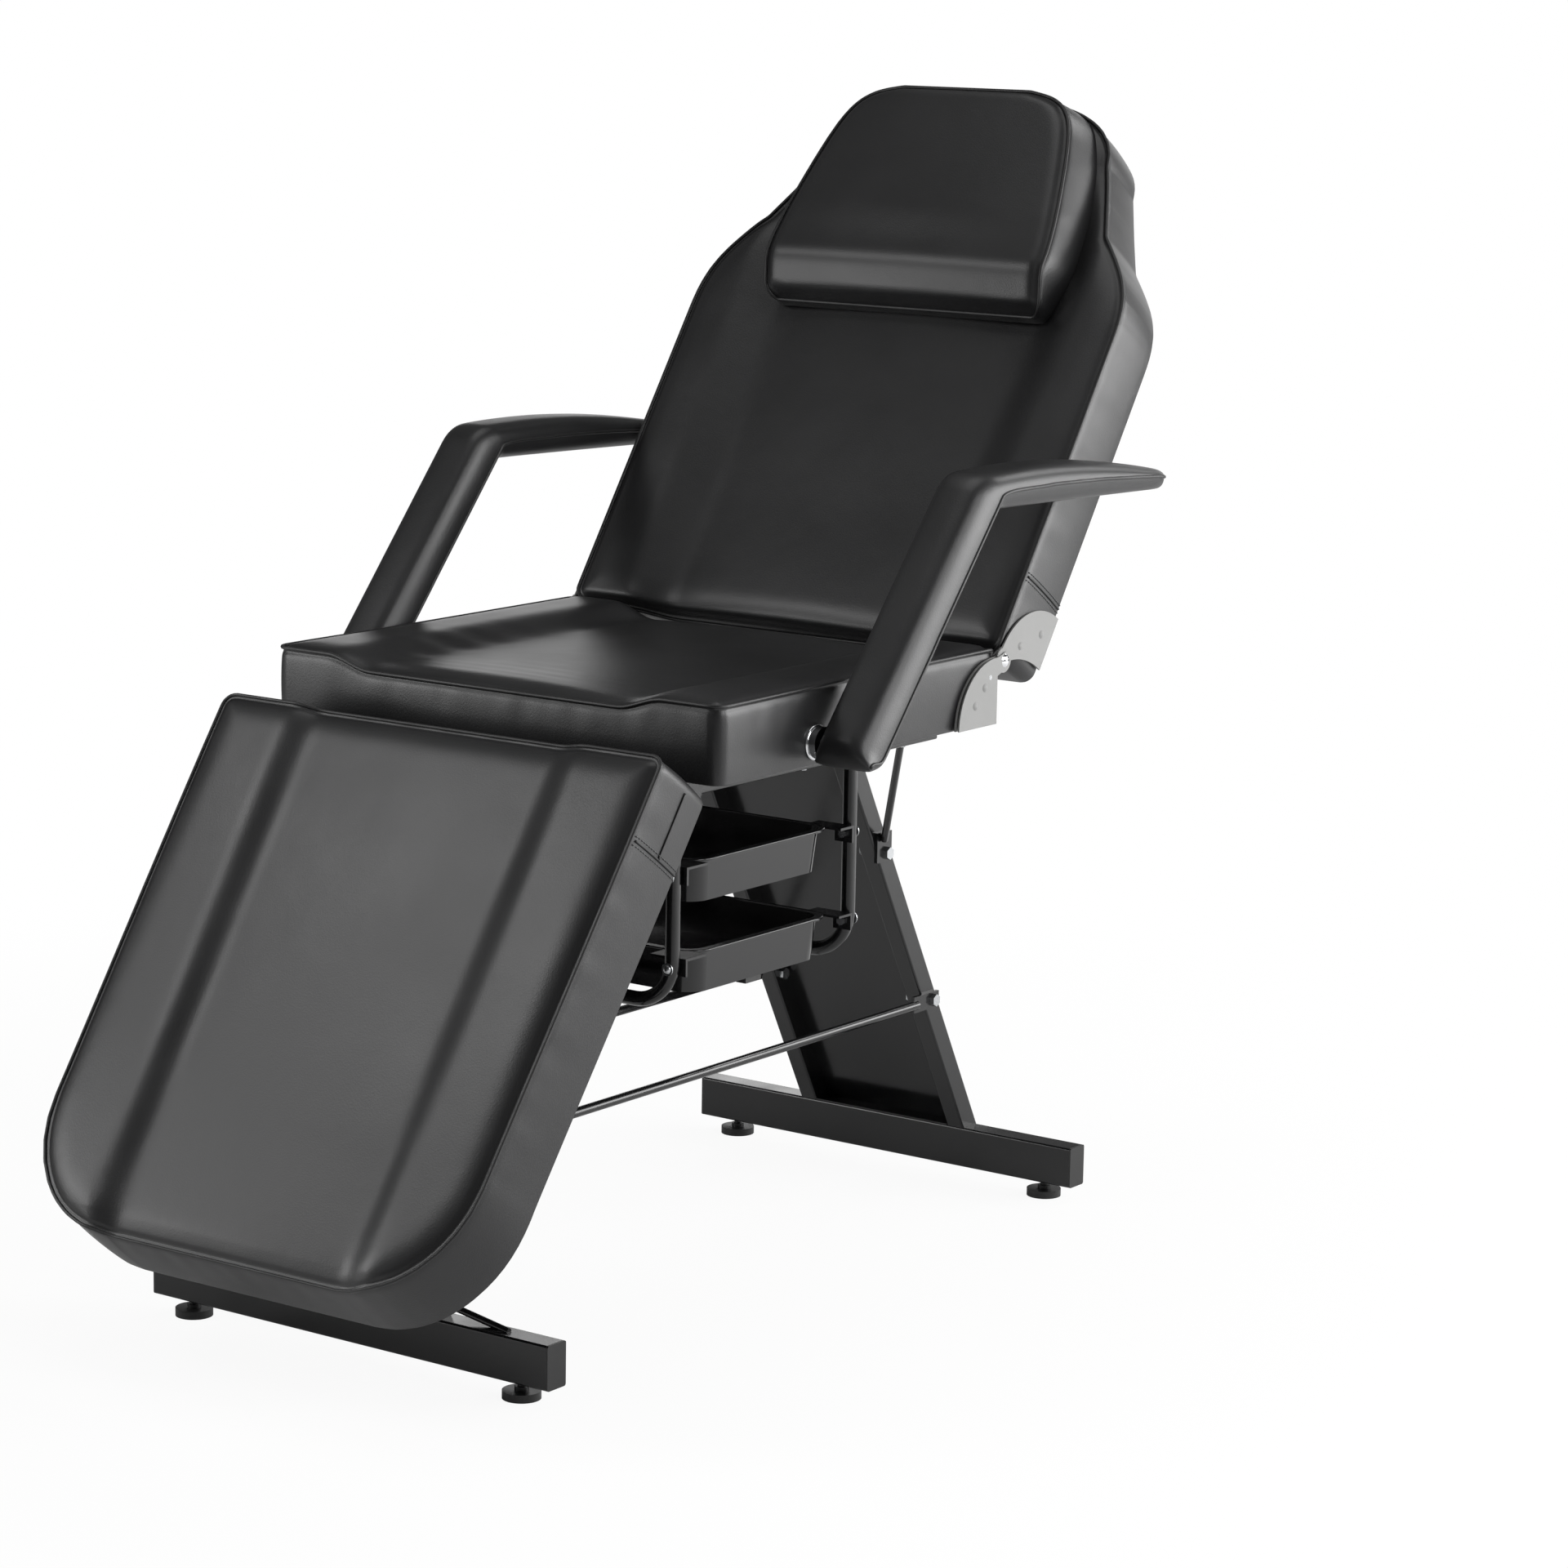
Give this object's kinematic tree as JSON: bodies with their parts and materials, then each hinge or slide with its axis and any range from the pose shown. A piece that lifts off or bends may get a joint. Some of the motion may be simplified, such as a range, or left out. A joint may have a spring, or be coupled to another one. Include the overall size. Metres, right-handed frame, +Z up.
{
  "type": "tattoo chair",
  "caption": "Padded reclining chair on an A-shaped steel frame, with a ratchet backrest, hinged leg rest, head pillow, swinging arms and tool trays under the seat",
  "frame": {"origin": "centre of the rectangle that the floor bars span, at floor level", "axes": "+Z up; +Y from the leg rest to the backrest; +X to the right of a person who faces the leg rest end from the front"},
  "size_m": [0.714, 1.3338, 1.2108],
  "materials": {
    "frame_black": "gloss black powder coat on steel",
    "black_vinyl": "semi-gloss black PU vinyl with fine grain",
    "black_cloth": "black woven backing cloth",
    "plywood": "raw birch plywood and pine",
    "tray_plastic": "gloss black moulded plastic",
    "black_plastic": "satin black moulded plastic",
    "grey_plate": "light grey satin powder coat on pressed steel",
    "chrome_steel": "polished chrome plate",
    "zinc_steel": "bright zinc plate"
  },
  "bodies": {
    "chair_base": {"floor_bars": "frame_black", "bar_end_plugs": "black_plastic", "foot_nut_inserts": "zinc_steel", "leg_posts": "frame_black", "leg_panels": "frame_black", "leg_top_plates": "frame_black", "leg_top_bolts": "zinc_steel", "frame_nuts": "zinc_steel", "leg_post_bolts": "zinc_steel", "seat_board_bolts": "zinc_steel", "seat_frame": "frame_black", "brace_rods": "frame_black", "rear_struts": "frame_black", "front_gussets": "frame_black", "upper_tray": "tray_plastic", "lower_tray": "tray_plastic", "tray_bolts": "zinc_steel", "tray_washers": "zinc_steel", "tray_nuts": "zinc_steel", "tray_hangers": "frame_black", "tray_catch": "black_plastic", "hinge_pins": "chrome_steel", "pawl_pins": "zinc_steel", "seat_hinge_screws": "grey_plate", "hinge_spacers": "zinc_steel", "seat_hinge_plates": "grey_plate", "seat_hinge_covers": "grey_plate", "arm_discs": "chrome_steel", "arm_studs": "zinc_steel", "arm_nuts": "zinc_steel", "seat_cushion": "black_vinyl", "seat_board": "plywood", "seat_battens": "plywood", "leg_hinge_brackets": "frame_black", "leg_hinge_pins": "zinc_steel", "leg_pawl_pin": "zinc_steel"},
    "backrest": {"back_cushion": "black_vinyl", "back_board": "plywood", "back_battens": "plywood", "back_cover": "black_cloth", "back_hinge_plates": "grey_plate", "back_hinge_screws": "grey_plate", "head_pillow": "black_vinyl", "pillow_strap": "black_cloth"},
    "leg_rest": {"leg_cushion": "black_vinyl", "leg_board": "plywood", "leg_cover": "black_cloth", "leg_hinge_plates": "frame_black", "leg_hinge_screws": "zinc_steel"},
    "arm_right": {"arm_pad_right": "black_vinyl", "arm_core_right": "plywood"},
    "arm_left": {"arm_pad_left": "black_vinyl", "arm_core_left": "plywood"},
    "back_ratchet_right": {"back_pawl_right": "zinc_steel"},
    "back_ratchet_left": {"back_pawl_left": "zinc_steel"},
    "leg_ratchet": {"leg_pawl": "zinc_steel"},
    "levelling_front_left": {"foot_front_left": "black_plastic"},
    "levelling_front_right": {"foot_front_right": "black_plastic"},
    "levelling_rear_left": {"foot_rear_left": "black_plastic"},
    "levelling_rear_right": {"foot_rear_right": "black_plastic"}
  },
  "joints": [
    {"name": "back_recline", "type": "hinge", "parent": "chair_base", "child": "backrest", "pos_m": [0, 0.2394, 0.6366], "axis": [1, 0, 0], "range_deg": [-56, 14]},
    {"name": "leg_rest_tilt", "type": "hinge", "parent": "chair_base", "child": "leg_rest", "pos_m": [0, -0.2615, 0.5686], "axis": [-1, 0, 0], "range_deg": [-8, 55.1]},
    {"name": "arm_right_swing", "type": "hinge", "parent": "chair_base", "child": "arm_right", "pos_m": [0.3, -0.093, 0.594], "axis": [1, 0, 0], "range_deg": [-50, 0]},
    {"name": "back_pawl_right_lift", "type": "hinge", "parent": "chair_base", "child": "back_ratchet_right", "pos_m": [0.2836, 0.212, 0.622], "axis": [1, 0, 0], "range_deg": [0, 12], "stiffness_Nm_per_rad": 0.01},
    {"name": "arm_left_swing", "type": "hinge", "parent": "chair_base", "child": "arm_left", "pos_m": [-0.3, -0.093, 0.594], "axis": [1, 0, 0], "range_deg": [-50, 0]},
    {"name": "back_pawl_left_lift", "type": "hinge", "parent": "chair_base", "child": "back_ratchet_left", "pos_m": [-0.2836, 0.212, 0.622], "axis": [1, 0, 0], "range_deg": [0, 12], "stiffness_Nm_per_rad": 0.01},
    {"name": "leg_pawl_lift", "type": "hinge", "parent": "chair_base", "child": "leg_ratchet", "pos_m": [0.2183, -0.236, 0.54496], "axis": [1, 0, 0], "range_deg": [0, 12], "stiffness_Nm_per_rad": 0.01},
    {"name": "foot_front_left_level", "type": "slide", "parent": "chair_base", "child": "levelling_front_left", "axis": [0, 0, 1], "range_m": [-0.01, 0.004]},
    {"name": "foot_front_right_level", "type": "slide", "parent": "chair_base", "child": "levelling_front_right", "axis": [0, 0, 1], "range_m": [-0.01, 0.004]},
    {"name": "foot_rear_left_level", "type": "slide", "parent": "chair_base", "child": "levelling_rear_left", "axis": [0, 0, 1], "range_m": [-0.01, 0.004]},
    {"name": "foot_rear_right_level", "type": "slide", "parent": "chair_base", "child": "levelling_rear_right", "axis": [0, 0, 1], "range_m": [-0.01, 0.004]}
  ]
}
